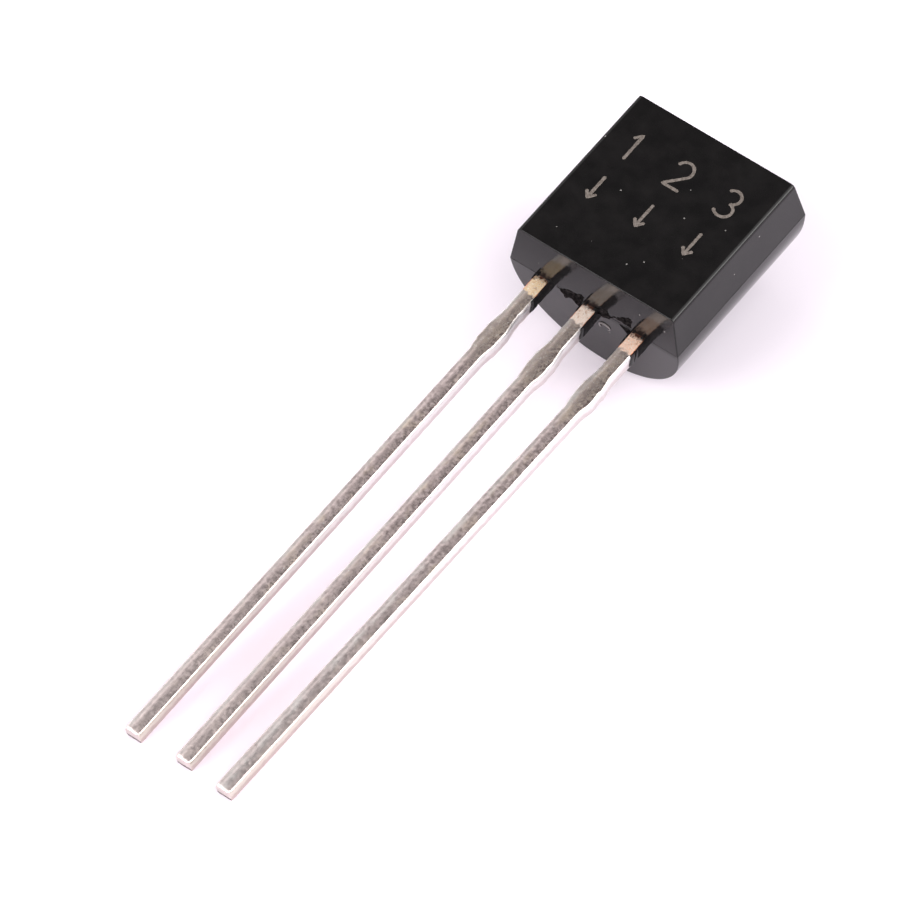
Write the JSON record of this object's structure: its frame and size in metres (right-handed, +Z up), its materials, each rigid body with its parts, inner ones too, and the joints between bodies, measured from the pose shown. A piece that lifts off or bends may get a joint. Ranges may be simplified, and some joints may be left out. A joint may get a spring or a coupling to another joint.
{
  "type": "to-92 transistor",
  "caption": "Small-signal transistor in a moulded D-shaped epoxy package with straight flat-strip leads, lying on its rounded back with the flat face up.",
  "frame": {"origin": "bottom centre of the bounding box, on the surface that the part lies on", "axes": "+X from lead 1 to lead 3 seen on the flat face with the leads down, +Y from the lead tips to the top of the body, +Z up, with the flat face up and leaning 7.4 degrees towards the lead tips"},
  "size_m": [0.0044, 0.0184, 0.0038],
  "materials": {
    "epoxy": "black moulding compound with a smooth satin gloss",
    "tinned_lead": "dull mottled tin over a copper-alloy strip",
    "silver_epoxy": "matte silver-filled adhesive",
    "silicon": "polished blue-grey silicon",
    "gold_wire": "bright drawn gold"
  },
  "bodies": {
    "root": {"body": "epoxy", "emitter_lead": "tinned_lead", "base_lead": "tinned_lead", "collector_lead": "tinned_lead", "die_attach": "silver_epoxy", "die": "silicon", "emitter_bond_wire": "gold_wire", "base_bond_wire": "gold_wire"}
  },
  "joints": []
}
